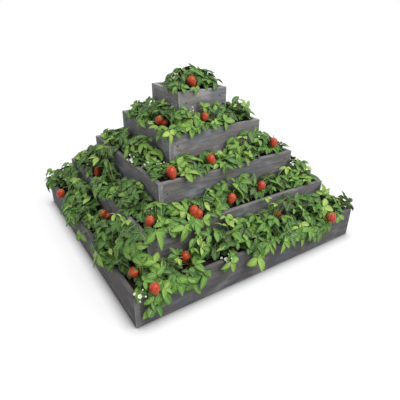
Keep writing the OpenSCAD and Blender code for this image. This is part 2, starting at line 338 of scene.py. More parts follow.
def new_piece(name, places, quads, finishes, finish_of=None, uv=None):
    """A smooth mesh from points and four-sided faces, in the planter's frame, riding on it."""
    mesh = bpy.data.meshes.new(name)
    mesh.vertices.add(len(places))
    mesh.vertices.foreach_set("co", np.asarray(places, np.float32).ravel())
    mesh.loops.add(4 * len(quads))
    mesh.loops.foreach_set("vertex_index", np.asarray(quads, np.int32).ravel())
    mesh.polygons.add(len(quads))
    mesh.polygons.foreach_set("loop_start", np.arange(0, 4 * len(quads), 4, dtype=np.int32))
    mesh.polygons.foreach_set("loop_total", np.full(len(quads), 4, np.int32))
    mesh.polygons.foreach_set("use_smooth", np.ones(len(quads), bool))
    if finish_of is not None:
        mesh.polygons.foreach_set("material_index", np.asarray(finish_of, np.int32))
    if uv is not None:
        mesh.uv_layers.new(name="OFBake").data.foreach_set("uv", np.asarray(uv, np.float32).ravel())
    mesh.update(calc_edges=True)
    for finish in finishes:
        mesh.materials.append(finish)
    piece = bpy.data.objects.new(name, mesh)
    bpy.context.scene.collection.objects.link(piece)
    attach(piece, "root")
    return piece


def join(parts):
    """Several (points, faces) as one."""
    starts = np.cumsum([0] + [len(places) for places, _ in parts])
    return (
        np.concatenate([places for places, _ in parts]),
        np.concatenate([quads + start for (_, quads), start in zip(parts, starts)]),
    )


def compost_bed(tier):
    """Square rings of points from the bottom's middle, up the outside, over the top and in again."""
    around = 4 * round(2 * outer_half(tier) / bed_step / 2)
    turn = np.arange(around) / around * 4
    side, along = turn.astype(int), turn % 1 * 2 - 1
    square = np.stack([np.choose(side, [along, 1 + 0 * along, -along, -1 + 0 * along]),
                       np.choose(side, [-1 + 0 * along, along, 1 + 0 * along, -along])], 1)
    bottom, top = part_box(f"tier_{tier}_compost")[0].z, soil(tier)
    hole = max(next_half(tier), 2 * mm)
    inner = np.linspace(inner_half(tier), hole, max(4, round((inner_half(tier) - hole) / bed_step)))
    rings = [(hole / 2, bottom, 0), (inner_half(tier), bottom, 0)]
    rings += [(reach, top, 1) for reach in inner]
    if tier < 5:
        rings += [(hole, rim(tier), 0), (hole / 2, rim(tier), 0)]
    places = np.zeros((len(rings), around, 3))
    for ring, (reach, height, lumpy) in zip(places, rings):
        ring[:, :2] = square * reach
        ring[:, 2] = height
        if lumpy:
            ring[:, 2] += [lumps(x, y) for x, y, _ in ring]
    row = np.arange(around)
    quads = [np.stack([i * around + row, i * around + (row + 1) % around,
                       (i + 1) * around + (row + 1) % around, (i + 1) * around + row], 1)
             for i in range(len(rings) - 1)]
    return places.reshape(-1, 3), np.concatenate(quads), around


def close_ring(first, around):
    """Four-sided faces that close a ring of points."""
    half = around // 2
    return np.array([[first + i, first + i + 1, first + around - 2 - i, first + around - 1 - i]
                     for i in range(half - 1)])


def in_bed(tier, count):
    """Chance places on the compost's open strip."""
    found = []
    low, high = next_half(tier) + 4 * mm, inner_half(tier) - 4 * mm
    while len(found) < count:
        x, y = dice.uniform(-high, high, 2)
        if max(abs(x), abs(y)) > low:
            found.append((x, y))
    return found


compost_earth, earth_shader, earth_nodes = material("compost_earth", Specular_IOR_Level=0.25)
crumb = earth_nodes.here().cloud(220, 6, 0.7)
damp = earth_nodes.here().cloud(28, 3)
earth = crumb.step(0.35, 0.68).mix(rgb(24, 17, 13), rgb(74, 55, 41))
(damp.step(0.4, 0.65) * 0.6).mix(earth, rgb(34, 24, 18)).feed(earth_shader, "Base Color")
(0.75 + 0.2 * crumb).feed(earth_shader, "Roughness")
earth_nodes.node("Bump", inputs={"Height": crumb, "Distance": 3 * mm}).feed(earth_shader, "Normal")

crumb_places, crumb_quads = ball(2)
for tier in tiers:
    places, quads, around = compost_bed(tier)
    rings = len(places) // around
    caps = [close_ring(0, around)[:, ::-1], close_ring((rings - 1) * around, around)]
    crumbs = [(places, np.concatenate([quads, *caps]))]
    open_area = 4 * (inner_half(tier) ** 2 - next_half(tier) ** 2)
    for x, y in in_bed(tier, round(crumb_density * open_area) + spare_crumbs):
        size = dice.uniform(1.2, 4.2) * mm
        stretch = dice.uniform(0.6, 1.3, 3) * size
        bumpy = crumb_places * stretch * dice.uniform(0.8, 1.2, (len(crumb_places), 1))
        crumbs.append((bumpy + (x, y, soil(tier) + lumps(x, y) + 0.3 * size), crumb_quads))
    piece = new_piece(f"compost_{tier}", *join(crumbs), [compost_earth])
    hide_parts(f"tier_{tier}_compost")

# Leaves
# Strawberry leaves have three toothed leaflets on one long stalk. Each leaflet is folded along its
# pale midrib, arches over and has a satin, bright green upper side and a paler underside.
leaf_tones = 12
leaf_green, leaf_shader, leaf_nodes = material("leaf_green", Specular_IOR_Level=0.4)
# The atlas has four columns and four rows of cells. Its first three rows hold the upper sides' greens,
# and the last one the undersides' and the stalks'.
leaf_atlas = leaf_nodes.atlas()
cell_u, cell_v = leaf_atlas.part(0) * 4, leaf_atlas.part(1) * 4
column, row = leaf_nodes.maths("FLOOR", cell_u), leaf_nodes.maths("FLOOR", cell_v)
down_leaf, over_leaf = cell_u - column, abs((cell_v - row) * 2 - 1)
tone = (column + 4 * row) * (1 / (leaf_tones - 1))
greens = [(0, rgb(32, 66, 26)), (0.3, rgb(56, 104, 38)), (0.6, rgb(88, 140, 50)),
          (0.85, rgb(130, 170, 70)), (1, rgb(168, 198, 98))]
blade = leaf_nodes.node("ValToRGB", {"stops": greens}, {0: tone})
rib_place = leaf_nodes.maths("FRACT", down_leaf * 7.5 - over_leaf * 1.7)
side_rib = abs(rib_place - 0.5).step(0.36, 0.5) * over_leaf.step(1, 0.7)
midrib = over_leaf.step(0.11, 0.03)
ribs = leaf_nodes.maths("MAXIMUM", midrib, side_rib * 0.55)
margin = over_leaf.step(0.82, 0.98)
patches = leaf_atlas.cloud(34, 3)
blade = (patches.step(0.4, 0.7) * 0.3).mix(blade, rgb(124, 160, 70))
blade = (ribs * 0.55).mix(blade, rgb(186, 204, 134))
blade = (margin * 0.45).mix(blade, rgb(174, 202, 112))
underside = (ribs * 0.5).mix(rgb(132, 156, 108), rgb(178, 194, 150))
under = row.step(2.4, 2.6)
under.mix(blade, underside).feed(leaf_shader, "Base Color")
(0.42 + 0.3 * under + 0.12 * patches).feed(leaf_shader, "Roughness")
relief = {"Strength": 0.6, "Distance": 0.8 * mm, "Height": 1 - ribs}
leaf_nodes.node("Bump", inputs=relief).feed(leaf_shader, "Normal")

stalk_green, stalk_shader, stalk_nodes = material("stalk_green", Roughness=0.5)
up_stalk = stalk_nodes.atlas().part(0) * 4 - 3
up_stalk.step(0, 0.5).mix(rgb(150, 96, 66), rgb(136, 172, 84)).feed(stalk_shader, "Base Color")

# The cells of the stalks, of the undersides, and of a sepal's upper side and underside
stalk_cell = 15
under_cells = (12, 13, 14)
sepal_cells = (6, 13)


def cell_corner(cell):
    """The lower left corner of a cell in the atlas."""
    return np.stack([np.asarray(cell) % 4, np.asarray(cell) // 4], -1) / 4


def unit(v):
    return v / np.linalg.norm(v, axis=-1, keepdims=True)


def square_to(axis):
    """Two ways that are square to an axis and to each other."""
    first = unit(np.cross(axis, (0.2, 0.9, 0.1)))
    return first, np.cross(axis, first)


def bow(foot, way, up, length, bend, s):
    """Points along lines that leave each foot in its way and bend over, away from up."""
    turn = bend[:, None] * s
    reach = (length / bend)[:, None]
    return (foot[:, None] + (reach * np.sin(turn))[..., None] * way[:, None]
            - (reach * (1 - np.cos(turn)))[..., None] * up[:, None])


class Sheaf:
    """Gathers the points, faces, finishes and places in the atlas of a plant or of a tier's flowers."""

    def __init__(self):
        self.places, self.quads, self.uv, self.finish = [], [], [], []
        self.count = 0

    def add(self, places, quads, uv, finish):
        self.places.append(places)
        self.quads.append(quads + self.count)
        self.uv.append(np.reshape(uv, (-1, 2)))
        self.finish.append(np.full(len(quads), finish))
        self.count += len(places)

    def piece(self, name, finishes):
        gathered = self.places, self.quads, self.finish, self.uv
        places, quads, finish_of, uv = [np.concatenate(each) for each in gathered]
        return new_piece(name, places, quads, finishes, finish_of, uv)

    def blades(self, foot, way, up, length, width, bend, fold, cells, shape,
               rows=13, thick=0.7 * mm, ripple=0):
        """Thin closed blades, such as leaflets, petals and sepals, one for each foot."""
        # The columns are odd in number, so that one of them is the midrib
        columns = 7
        s, t = np.linspace(0, 1, rows), np.linspace(-1, 1, columns)
        half, lead = shape(s)
        across = unit(np.cross(way, up))
        up = unit(np.cross(across, way))
        middle = bow(foot, way, up, length, bend, s)
        turn = (bend[:, None] * s)[..., None]
        out = np.cos(turn) * up[:, None] + np.sin(turn) * way[:, None]
        ahead = np.cos(turn) * way[:, None] - np.sin(turn) * up[:, None]
        spread = half[None, :, None] * width[:, None, None] / 2 * t
        lift = np.abs(spread) * np.sin(fold)[:, None, None]
        wave = np.where(np.arange(rows) % 2 == 1, ripple, -ripple)
        lift = lift + wave[:, None] * np.abs(t) * (1 - np.abs(t)) * 4
        level = (spread * np.cos(fold)[:, None, None])[..., None] * across[:, None, None]
        lean = (lead[:, None] * np.abs(t) ** 4 * length[:, None, None])[..., None] * ahead[:, :, None]
        places = middle[:, :, None] + level + lift[..., None] * out[:, :, None] + lean
        # The upper and the lower skin stand apart in the middle and meet at the blade's margin
        inside = np.zeros((rows, columns), bool)
        inside[1:-1, 1:-1] = True
        top = places + (inside * thick / 2)[None, ..., None] * out[:, :, None]
        low = (places - thick / 2 * out[:, :, None])[:, 1:-1, 1:-1]
        number = np.arange(rows * columns).reshape(rows, columns)
        below = number.copy()
        below[1:-1, 1:-1] = rows * columns + np.arange((rows - 2) * (columns - 2)).reshape(rows - 2, -1)

        def faces(n):
            return np.stack([n[:-1, :-1], n[:-1, 1:], n[1:, 1:], n[1:, :-1]], -1).reshape(-1, 4)

        quads = np.concatenate([faces(number), faces(below)[:, ::-1]])
        in_cell = np.broadcast_arrays(0.03 + 0.94 * s[:, None], 0.5 + 0.47 * t)
        flat = np.stack(in_cell, -1).reshape(-1, 2) / 4
        uv_up, uv_low = flat[faces(number)], flat[faces(number)[:, ::-1]]
        for i, (upper, lower) in enumerate(cells):
            skin = np.concatenate([top[i].reshape(-1, 3), low[i].reshape(-1, 3)])
            uv = np.concatenate([uv_up + cell_corner(upper), uv_low + cell_corner(lower)])
            self.add(skin, quads, uv, 0)

    def tube(self, points, thick, taper=0.75):
        """A closed round stalk along points, of six sides, so that two faces close each end."""
        points = np.asarray(points)
        ahead = unit(np.gradient(points, axis=0))
        start = np.array([0.3, 0.9, 0.1]) if abs(ahead[:, 1]).max() < 0.8 else np.array([0.9, 0.1, 0.3])
        first = unit(np.cross(ahead, start))
        second = np.cross(ahead, first)
        around = 6
        turn = np.arange(around) / around * 2 * math.pi
        radius = np.linspace(thick / 2, taper * thick / 2, len(points))[:, None, None]
        out = np.cos(turn)[:, None] * first[:, None] + np.sin(turn)[:, None] * second[:, None]
        rings = points[:, None] + radius * out
        n = np.arange(len(points) * around).reshape(len(points), around)
        m = np.roll(n, -1, axis=1)
        sides = np.stack([n[:-1], m[:-1], m[1:], n[1:]], -1).reshape(-1, 4)
        cap = np.array([[0, 1, 2, 3], [0, 3, 4, 5]])
        quads = np.concatenate([sides, cap[:, ::-1], cap + n[-1, 0]])
        share = np.repeat(np.linspace(0.05, 0.95, len(points)), around)
        wrap = np.tile(np.arange(around) / around, len(points))
        uv = np.stack([share, 0.05 + 0.9 * wrap], -1)[quads] / 4 + cell_corner(stalk_cell)
        self.add(rings.reshape(-1, 3), quads, uv, 1)


def curve(*points, steps=7):
    """A smooth curve that leaves the first point and arrives at the last, drawn to those between."""
    t = np.linspace(0, 1, steps)[:, None]
    degree = len(points) - 1
    return sum(math.comb(degree, i) * t ** i * (1 - t) ** (degree - i) * np.asarray(p, float)
               for i, p in enumerate(points))


def leaflet_shape(s):
    """A leaflet's half width along its length, toothed, and how far its teeth lean to its tip."""
    plain = 0.04 + 3.3 * s ** 0.8 * (1 - s)
    tooth = np.where(np.arange(len(s)) % 2 == 1, 1.0, -1.0)
    tooth[0], tooth[-1] = 0, 0
    return plain * (1 + 0.09 * tooth), 0.04 * tooth


# Fruit and flower places
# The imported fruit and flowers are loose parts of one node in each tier: each part's middle and the way
# that it lies are read from the part itself. Some fruit hang in pairs, and flowers stand in clusters.
flower_width = 15 * mm
bud_width = 10 * mm
# The buds and the small flower round an open one: turn in radians, reach and width in millimetres
cluster_places = [(0, 18, 11), (1.9, 17, 7), (3.1, 21, 8), (4.4, 18, 6)]
# Fruit that a second one hangs beside: tier and place in millimetres
twins = [(4, -203, -98), (2, -245, -448), (1, -508, -96)]


def loose_parts(node):
    """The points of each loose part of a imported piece, always in the same order."""
    shape = bmesh.new()
    shape.from_mesh(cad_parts[node].data)
    bmesh.ops.remove_doubles(shape, verts=shape.verts, dist=0.01 * mm)
    left, found = set(shape.verts), []
    while left:
        stack, part = [left.pop()], []
        while stack:
            vert = stack.pop()
            part.append(vert.co[:])
            near = {edge.other_vert(vert) for edge in vert.link_edges} & left
            left -= near
            stack.extend(near)
        found.append(np.array(part))
    shape.free()
    return sorted(found, key=lambda part: tuple(part.mean(0).round(4)))


def view_way(place):
    """The way that a place is looked at from: the camera's, or on the hidden sides its mirror's."""
    hidden = place[0] + place[1] > 0 and not (place[1] < -abs(place[0]))
    return unit(np.array(eye) * ((-1, -1, 1) if hidden else (1, 1, 1)) - place)


class Berry:
    """A fruit's middle, the way from its tip to its stalk, and its length."""

    def __init__(self, tier, middle, axis, length):
        self.tier, self.middle, self.axis, self.length = tier, middle, axis, length
        self.top = middle + axis * length / 2
        self.radius = 0.4 * length
        self.view = view_way(middle)


def packed_berry(tier, part):
    """A packed fruit, whose tip is the point farthest from its middle."""
    middle = (part.min(0) + part.max(0)) / 2
    tip = part[np.argmax(np.linalg.norm(part - middle, axis=1))]
    axis = unit(part.mean(0) - tip)
    length = ((part - tip) @ axis).max()
    return Berry(tier, tip + axis * length / 2, axis, length)


berries = [packed_berry(tier, part) for tier in tiers for part in loose_parts(f"tier_{tier}_fruit")]
# The second of a pair is smaller. It hangs a little lower, to one side of the first as the camera sees it.
for tier, x, y in twins:
    for half_turn in (1, -1):
        place = np.array([x, y]) * half_turn * mm
        first = min([b for b in berries if b.tier == tier], key=lambda b: math.dist(b.middle[:2], place))
        beside = first.length * (0.45 * np.cross((0, 0, 1), first.view) - np.array([0, 0, 0.3]))
        berries.append(Berry(tier, first.middle + 0.6 * beside, first.axis, 0.9 * first.length))
        first.middle, first.top = first.middle - 0.4 * beside, first.top - 0.4 * beside


class Flower:
    """An open flower, or a bud where it is small: its middle, the way that it faces, and its width."""

    def __init__(self, middle, axis, width):
        self.middle, self.axis, self.width = middle, axis, width
        self.open = width > bud_width


def in_the_way(tier, place, room):
    """Whether a place is in a board or in the frame above."""
    far = max(abs(place[0]), abs(place[1]))
    in_board = inner_half(tier) - room < far < outer_half(tier) + room and place[2] < rim(tier) + room
    return in_board or far < next_half(tier) + room


def cluster(tier, part):
    """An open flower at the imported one's place, then a smaller one and buds beside it."""
    middle = part.mean(0)
    axis = np.linalg.svd(part - middle)[2][2]
    axis = axis * np.sign(axis[2])
    first, second = square_to(axis)
    found = [Flower(middle, axis, flower_width)]
    start = dice.uniform(0, 2 * math.pi)
    for turn, reach, width in cluster_places:
        out = math.cos(start + turn) * first + math.sin(start + turn) * second
        place = middle + out * reach * mm + (0, 0, dice.uniform(0, 9) * mm)
        if not in_the_way(tier, place, width * mm / 2 + 2 * mm):
            found.append(Flower(place, unit(axis + 0.4 * out), width * mm))
    return found


clusters = [(tier, cluster(tier, part))
            for tier in tiers for part in loose_parts(f"tier_{tier}_flowers")]
# What the leaves leave in view: a middle, a radius, the way that it is looked at from, and how much
# room it takes up itself
shown = [(*b.middle, 1.3 * b.radius, *b.view, b.radius) for b in berries]
shown += [(*f.middle, f.width / 2, *view_way(f.middle), f.width / 2) for _, (f, *_) in clusters]

# Plants
# One strawberry plant stands at each crown, as many along a side as the frame has room for. Its leaves
# fill its share of the strip: tall against the frame above, lower at the rim, some hanging over it.
crown_width = 18 * mm
crown_height = 8 * mm
leaf_pitch = 33 * mm
leaflet_length = 54 * mm
leaflet_width = 31 * mm
# How high the leaves' hubs stand: over the compost at the rim, over the height that the table gives at
# the frame above, and over the compost at the least
rim_hub = 30 * mm
wall_hub = 8 * mm
lowest_hub = 14 * mm
# How far out a leaf may stick over a rim, how far down the leaves at a rim spread, and from where on
# whole leaves hang in front of the boards as well
farthest_out = 42 * mm
longest_spread = 16 * mm
least_hang = 24 * mm
# How high over the rim a hanging leaf's hub is, unless the leaf hangs farther down than this
hanging_hub = 12 * mm
usual_hang = 40 * mm
clearance = 3 * mm
longest_hang = 120 * mm
# The leaves keep the view of fruit, flowers and single leaves free for this far in front of them, for
# a single leaf this far round its hub, and no leaf reaches farther than this from its own hub
view_depth = 150 * mm
lone_leaf_view = 36 * mm
leaf_reach = 100 * mm
# The widths of the stalks at their foot
leaf_stalk = 2.4 * mm
fruit_stalk = 2.2 * mm
flower_stalk = 1.9 * mm
flower_branch = 1.5 * mm
# How high the leaves stand over the rim against the frame above, in millimetres: for each tier, along
# the front from its left end, then along the left side from its front end. The far sides have the
# same, half a turn round.
grown_high = {
    1: ([160, 45, 95, 150, 108, 185, 135, 45, 50], [215, 195, 166, 155, 24, 132, 110, 148, 30]),
    2: ([80, 60, 55, 90, 98, 84, 40, 110, 80], [70, 32, 100, 76, 0, 175, 155, 92, 0]),
    3: ([0, 10, 72, 58, 38, 100, 125, 88, 16], [0, 4, 56, 118, 82, 64, 60, 32, 4]),
    4: ([44, 72, 84, 84, 52], [60, 74, 84, 62, 12]),
    5: ([56, 54, 48], [60, 50, 34]),
}
# How far the leaves hang over the rim, in millimetres, along the same sides
hung_low = {
    1: ([108, 70, 85, 48, 50, 35, 94, 50, -40], [-20, -10, 60, -20, 6, 106, -40, -20, 115]),
    2: ([4, 40, 40, -2, -6, -20, -12, 7, 0], [-8, -8, 4, 4, 70, 0, 8, 4, -4]),
    3: ([38, 18, 20, 16, 20, 8, 0, 0, -2], [12, 4, 8, 6, 2, 6, 18, -4, -14]),
    4: ([34, 4, 16, 12, 8, 5, 12, -4, -4], [34, 36, 16, 8, 18, 28, 40, -14, -10]),
    5: ([16, 14, 6, 5, 8, 8, 4, 0, -5], [18, 24, 20, 18, 8, 0, 0, 0, 0]),
}
# Single leaves that spread out on their own: tier, hub's place and height over the rim in millimetres,
# turn of the middle leaflet from straight down in degrees, and size
lone_leaves = [
    (1, -628, -332, 38, 8, 1.25), (1, -626, -76, -8, 20, 0.8), (1, -50, -630, -25, -5, 1.25),
    (1, 102, -628, 4, -35, 1.05), (1, -190, -626, 12, -10, 1), (2, -455, -504, 34, 0, 1.2),
    (2, -332, -504, 15, 10, 1.1), (3, -378, 132, -4, 0, 0.9), (4, -252, -262, 22, 0, 0.85),
    (4, -262, -12, 12, 10, 0.9), (5, -48, -136, 14, 0, 0.6), (4, 185, -205, 64, 180, 0.8),
    (4, 192, -198, 48, 225, 0.8), (2, 388, -402, 62, 180, 0.8), (2, 396, -400, 42, 235, 0.8),
    (1, 590, -588, 35, 240, 0.85), (1, 585, -556, 52, 200, 0.8), (1, 470, -506, 92, 180, 0.9),
    (1, -515, 400, 100, 180, 0.9), (2, -455, 360, 45, 180, 0.8), (3, -300, 118, 68, 180, 0.8),
    (1, -604, 600, 34, 110, 0.75), (1, -586, 585, 36, 135, 0.75),
]
# Bare ground: tier, place and radius in millimetres
bare_spots = [(1, -255, -600, 38), (1, 255, 600, 38), (1, -118, -622, 40), (1, 118, 622, 40),
              (2, -300, -390, 28), (2, 300, 390, 28), (3, -163, -276, 26), (3, 163, 276, 26),
              (2, -472, 472, 46), (2, 472, -472, 20), (3, -355, 355, 36), (4, -238, 238, 56),
              (5, -105, 105, 60), (5, 120, -120, 34)]


def crowns(tier):
    """The places of a tier's crowns: a row along the front, and the same along the other sides."""
    strip = (inner_half(tier) + (next_half(tier) or crown_width)) / 2
    count = 6 - tier
    row = [(2 * strip * i / count - strip, -strip) for i in range(count)]
    quarter = [lambda x, y: (x, y), lambda x, y: (-y, x), lambda x, y: (-x, -y), lambda x, y: (y, -x)]
    return np.array([(*turn(x, y), soil(tier)) for turn in quarter for x, y in row])


def along_side(heights, tier, x, y):
    """The value of a table of heights at a place, in metres."""
    front = abs(y) > abs(x)
    share = (-x * np.sign(y) if front else -y * np.sign(x)) / outer_half(tier)
    row = heights[tier][0 if front else 1]
    return np.interp(share, np.linspace(-1, 1, len(row)), row) * mm


def outward(x, y):
    """The level way out from the planter, square to the side that a place is on."""
    return np.array([0, np.sign(y), 0]) if abs(y) > abs(x) else np.array([np.sign(x), 0, 0])


def wall_height(tier, x, y):
    """How high the leaves stand at a place.

    A hidden side starts as low as the side in view ends, and rises with the distance squared.
    """
    height = along_side(grown_high, tier, x, y)
    back, right = y > abs(x), x > abs(y)
    if back or right:
        near_end = grown_high[tier][1 if back else 0][-1] * mm
        height = min(height, near_end + (outer_half(tier) + (x if back else y)) ** 2)
    return height


def bare(tier, x, y):
    return any(tier == t and math.dist((x, y), (a * mm, b * mm)) < r * mm for t, a, b, r in bare_spots)


def blocked(tier, p, in_view=0.75):
    """Whether any of a leaf's points is in a board, in the compost, in a fruit or in front of one."""
    out = np.abs(p[:, :2]).max(1)
    over = p[:, 2] > rim(tier) + clearance
    beyond = (out > outer_half(tier) + clearance) & (p[:, 2] > rim(tier) - longest_hang)
    within = (out < inner_half(tier) - clearance) & (p[:, 2] > soil(tier) + clearance)
    if not (over | beyond | within).all() or (tier < 5 and out.min() < next_half(tier) + clearance):
        return True
    kept = np.array(shown)
    near = kept[np.linalg.norm(kept[:, :3] - p[0], axis=1) < view_depth + leaf_reach]
    apart = p[:, None] - near[:, :3]
    radius, view, body = near[:, 3], near[:, 4:7], near[:, 7]
    ahead = np.clip((apart * view).sum(2), 0, view_depth)
    aside = np.linalg.norm(apart - ahead[..., None] * view, axis=2)
    touching = np.linalg.norm(apart, axis=2) < body + clearance
    return (touching | ((aside < in_view * radius) & (ahead > 0))).any()


class Leaf:
    """Where a leaf's three leaflets spring from, and the way that each one points and faces."""

    # The places on a leaflet that have to be clear: shares of its length, and of its width to a side
    down = np.array([0.25, 0.25, 0.25, 0.5, 0.5, 0.5, 0.75, 0.75, 0.75, 1])
    aside = np.array([-0.35, 0, 0.35, -0.45, 0, 0.45, -0.35, 0, 0.35, 0])

    def __init__(self, hub, way, up, size, tone, droop=0.12):
        self.hub = np.asarray(hub, float)
        self.tone = int(np.clip(round(tone), 0, leaf_tones - 1))
        up = unit(np.asarray(up, float))
        way = unit(np.asarray(way, float) - (way @ up) * up)
        across = np.cross(way, up)
        splay = math.radians(dice.uniform(58, 88))
        ways, ups = [], []
        for angle in (-splay, 0, splay):
            level = math.cos(angle) * way + math.sin(angle) * across
            dip = dice.normal(droop, 0.16)
            ways.append(level - dip * up)
            ups.append(up + dip * level + dice.normal(0, 0.16) * np.cross(level, up))
        self.ways, self.ups = unit(np.array(ways)), unit(np.array(ups))
        self.lengths = size * leaflet_length * np.array([0.93, 1.06, 0.93]) * dice.uniform(0.88, 1.12, 3)
        self.widths = size * leaflet_width * dice.uniform(0.85, 1.1, 3)
        self.bends = dice.uniform(0.15, 0.95, 3)
        self.folds = dice.uniform(0.15, 0.6, 3)

    def points(self):
        """The hub, and places down the middle and at the sides of each leaflet."""
        side = unit(np.cross(self.ways, self.ups))
        found = bow(np.array([self.hub] * 3), self.ways, self.ups, self.lengths, self.bends, self.down)
        found = found + (self.aside * self.widths[:, None])[..., None] * side[:, None]
        return np.concatenate([[self.hub], found.reshape(-1, 3)])


def reaches_out(tier, points):
    """Whether a leaf sticks out farther over the rim than the leaves do at that place."""
    far = points[np.argmax(np.abs(points[:, :2]).max(1))]
    allowed = 5 * mm + 1.2 * along_side(hung_low, tier, far[0], far[1])
    return np.abs(far[:2]).max() - outer_half(tier) > min(allowed, farthest_out)


def light_patch(x, y, z):
    """How much paler the leaves are at a place than elsewhere, in tones."""
    return 5 * noise.noise(Vector((x, y, z)) * 9)


def grown_leaf(tier, x, y, under):
    """A leaf over a place, tried in a few attitudes until it has room, or None."""
    share = max(0, (max(abs(x), abs(y)) - next_half(tier)) / (outer_half(tier) - next_half(tier)))
    out = outward(x, y) if tier < 5 else unit(np.array([x, y - mm, 0]))
    wall = wall_height(tier, x, y) + rim_drop
    slope = 1 - share ** (1.5 if tier < 5 else 3)
    uneven = 12 * mm * noise.noise(Vector((x * 12, y * 12, tier)))
    height = rim_hub + (wall - (rim_hub - wall_hub)) * slope + uneven
    for attempt in range(10):
        bearing = dice.uniform(-math.pi, math.pi) * (1 if share < 0.75 or attempt < 4 else 0.5)
        level = math.cos(bearing) * out + math.sin(bearing) * np.cross(out, (0, 0, 1))
        up = np.array([0, 0, 1.0]) + (0.3 + 0.45 * share) * out + dice.normal(0, 0.34, 3) * (1, 1, 0)
        lowered = 0 if under else 2 * attempt * mm
        raised = height * (0.5 if under else 1) + dice.normal(0, 7) * mm - lowered
        hub = np.array([x, y, soil(tier) + max(raised, lowest_hub)])
        young = not under and dice.random() < 0.2
        size = dice.uniform(0.55, 0.75) if young else dice.uniform(0.78, 1.12)
        # The lower leaves take the darkest greens as painted shade; the upper ones' tones vary at random
        # and in patches
        usual_tone, tone_spread = (1, 1) if under else (4.9 + light_patch(*hub), 3.1)
        tone = usual_tone + (3.5 if young else 0) + dice.normal(0, tone_spread)
        leaf = Leaf(hub, level, up, size, tone)
        points = leaf.points()
        if not blocked(tier, points) and not reaches_out(tier, points):
            return leaf
    return None


def past_corner(tier, out, points):
    """Whether a leaf at the rim sticks out past the end of its side."""
    return np.abs(points @ np.cross(out, (0, 0, 1))).max() > outer_half(tier) + 6 * mm


def hanging_leaf(tier, x, y, low):
    """A leaf whose stalk leans over the rim, so that it hangs in front of the boards, or None."""
    out = outward(x, y)
    along = np.cross(out, (0, 0, 1))
    for attempt in range(6):
        hub = np.array([x, y, rim(tier) + hanging_hub - max(0, low - usual_hang)])
        hub += out * dice.uniform(6, 20) * mm + along * dice.uniform(-12, 12) * mm
        up = out + np.array([0, 0, dice.uniform(0.3, 1.1)]) + along * dice.normal(0, 0.25)
        way = -np.array([0, 0, 1]) + dice.uniform(-0.9, 0.9) * along + 0.3 * out
        leaf = Leaf(hub, way, up, dice.uniform(0.75, 1.1), dice.uniform(3, 9), 0.05)
        points = leaf.points()
        if not blocked(tier, points) and not past_corner(tier, out, points):
            return leaf
    return None


def lone_leaf(tier, x, y, over, turn, size):
    """A leaf at a place of its own, turned and moved out a little until it has room."""
    out = outward(x, y)
    along = np.cross(out, (0, 0, 1))
    way = math.sin(math.radians(turn)) * along - math.cos(math.radians(turn)) * np.array([0, 0, 1])
    for attempt in range(12):
        hub = np.array([x * mm, y * mm, rim(tier) + over * mm]) + attempt * mm * out
        up = out + np.array([0, 0, 0.5]) + dice.normal(0, 0.15) * along
        leaf = Leaf(hub, way, up, size, dice.uniform(7, 11), 0)
        if not blocked(tier, leaf.points()):
            return leaf
    return None


def edge_leaf(tier, x, y, hang):
    """A small leaf that spreads over the compost's edge and the rim, or None."""
    out = outward(x, y)
    along = np.cross(out, (0, 0, 1))
    # How far out over the rim the tip of its middle leaflet comes
    reach = min(1.6 * hang - 6 * mm, 30 * mm)
    for attempt in range(10):
        bearing = dice.uniform(-1.2, 1.2)
        size = dice.uniform(0.6, 0.95)
        back = 0.95 * size * leaflet_length * math.cos(bearing) - reach
        hub = np.array([x, y, rim(tier) + dice.uniform(8, 20) * mm + attempt * mm]) - out * back
        up = np.array([0, 0, 1]) + dice.uniform(0.2, 0.6) * out + dice.normal(0, 0.2) * along
        tone = 5.2 + light_patch(*hub) + dice.normal(0, 2)
        leaf = Leaf(hub, math.cos(bearing) * out + math.sin(bearing) * along, up, size, tone)
        points = leaf.points()
        if not blocked(tier, points, 0.5) and not past_corner(tier, out, points):
            return leaf
    return None


def rim_leaves(tier):
    """The leaves along the four rims."""
    found, half = [], outer_half(tier)
    for side in range(4):
        place = -half + dice.uniform(6, 20) * mm
        while place < half:
            x, y = [(place, -half), (half, place), (-place, half), (-half, -place)][side]
            hang = along_side(hung_low, tier, x, y) * dice.uniform(0.55, 1.2)
            if not bare(tier, x, y):
                found.append(edge_leaf(tier, x, y, min(hang, longest_spread)))
                for low in (hang, 0.6 * hang):
                    if low > least_hang:
                        found.append(hanging_leaf(tier, x, y, low))
            place += dice.uniform(18, 32) * mm
    return [leaf for leaf in found if leaf]


def tier_leaves(tier):
    """Every leaf of a tier, listed by the crown that it grows from."""
    roots = crowns(tier)
    grown = [[] for _ in roots]

    def nearest(place):
        return int(np.argmin(np.hypot(*(roots[:, :2] - place[:2]).T)))

    alone = [lone_leaf(*place) for place in lone_leaves if place[0] == tier]
    alone = [leaf for leaf in alone if leaf]
    # The other leaves keep clear of the view of those single ones that point down
    hanging = [leaf.hub for leaf in alone if leaf.ways[1][2] < 0]
    shown.extend((*hub, lone_leaf_view, *view_way(hub), 0) for hub in hanging)
    for leaf in alone + rim_leaves(tier):
        grown[nearest(leaf.hub)].append(leaf)
    # The upper leaves come first, then lower ones fill in under them, darker as painted shade
    reach = outer_half(tier) + 4 * mm
    for under in (False, True):
        pitch = leaf_pitch * (1.2 if under else 1)
        steps = round(2 * reach / pitch)
        for i in range(steps):
            for j in range(steps):
                cell = np.array([i, j]) + 0.5 + dice.uniform(-0.42, 0.42, 2)
                x, y = cell * 2 * reach / steps - reach
                far = max(abs(x), abs(y))
                too_near = far < next_half(tier) + 10 * mm
                if too_near or bare(tier, x, y) or (under and far > inner_half(tier)):
                    continue
                leaf = grown_leaf(tier, x, y, under)
                if leaf:
                    grown[nearest(leaf.hub)].append(leaf)
    return roots, grown


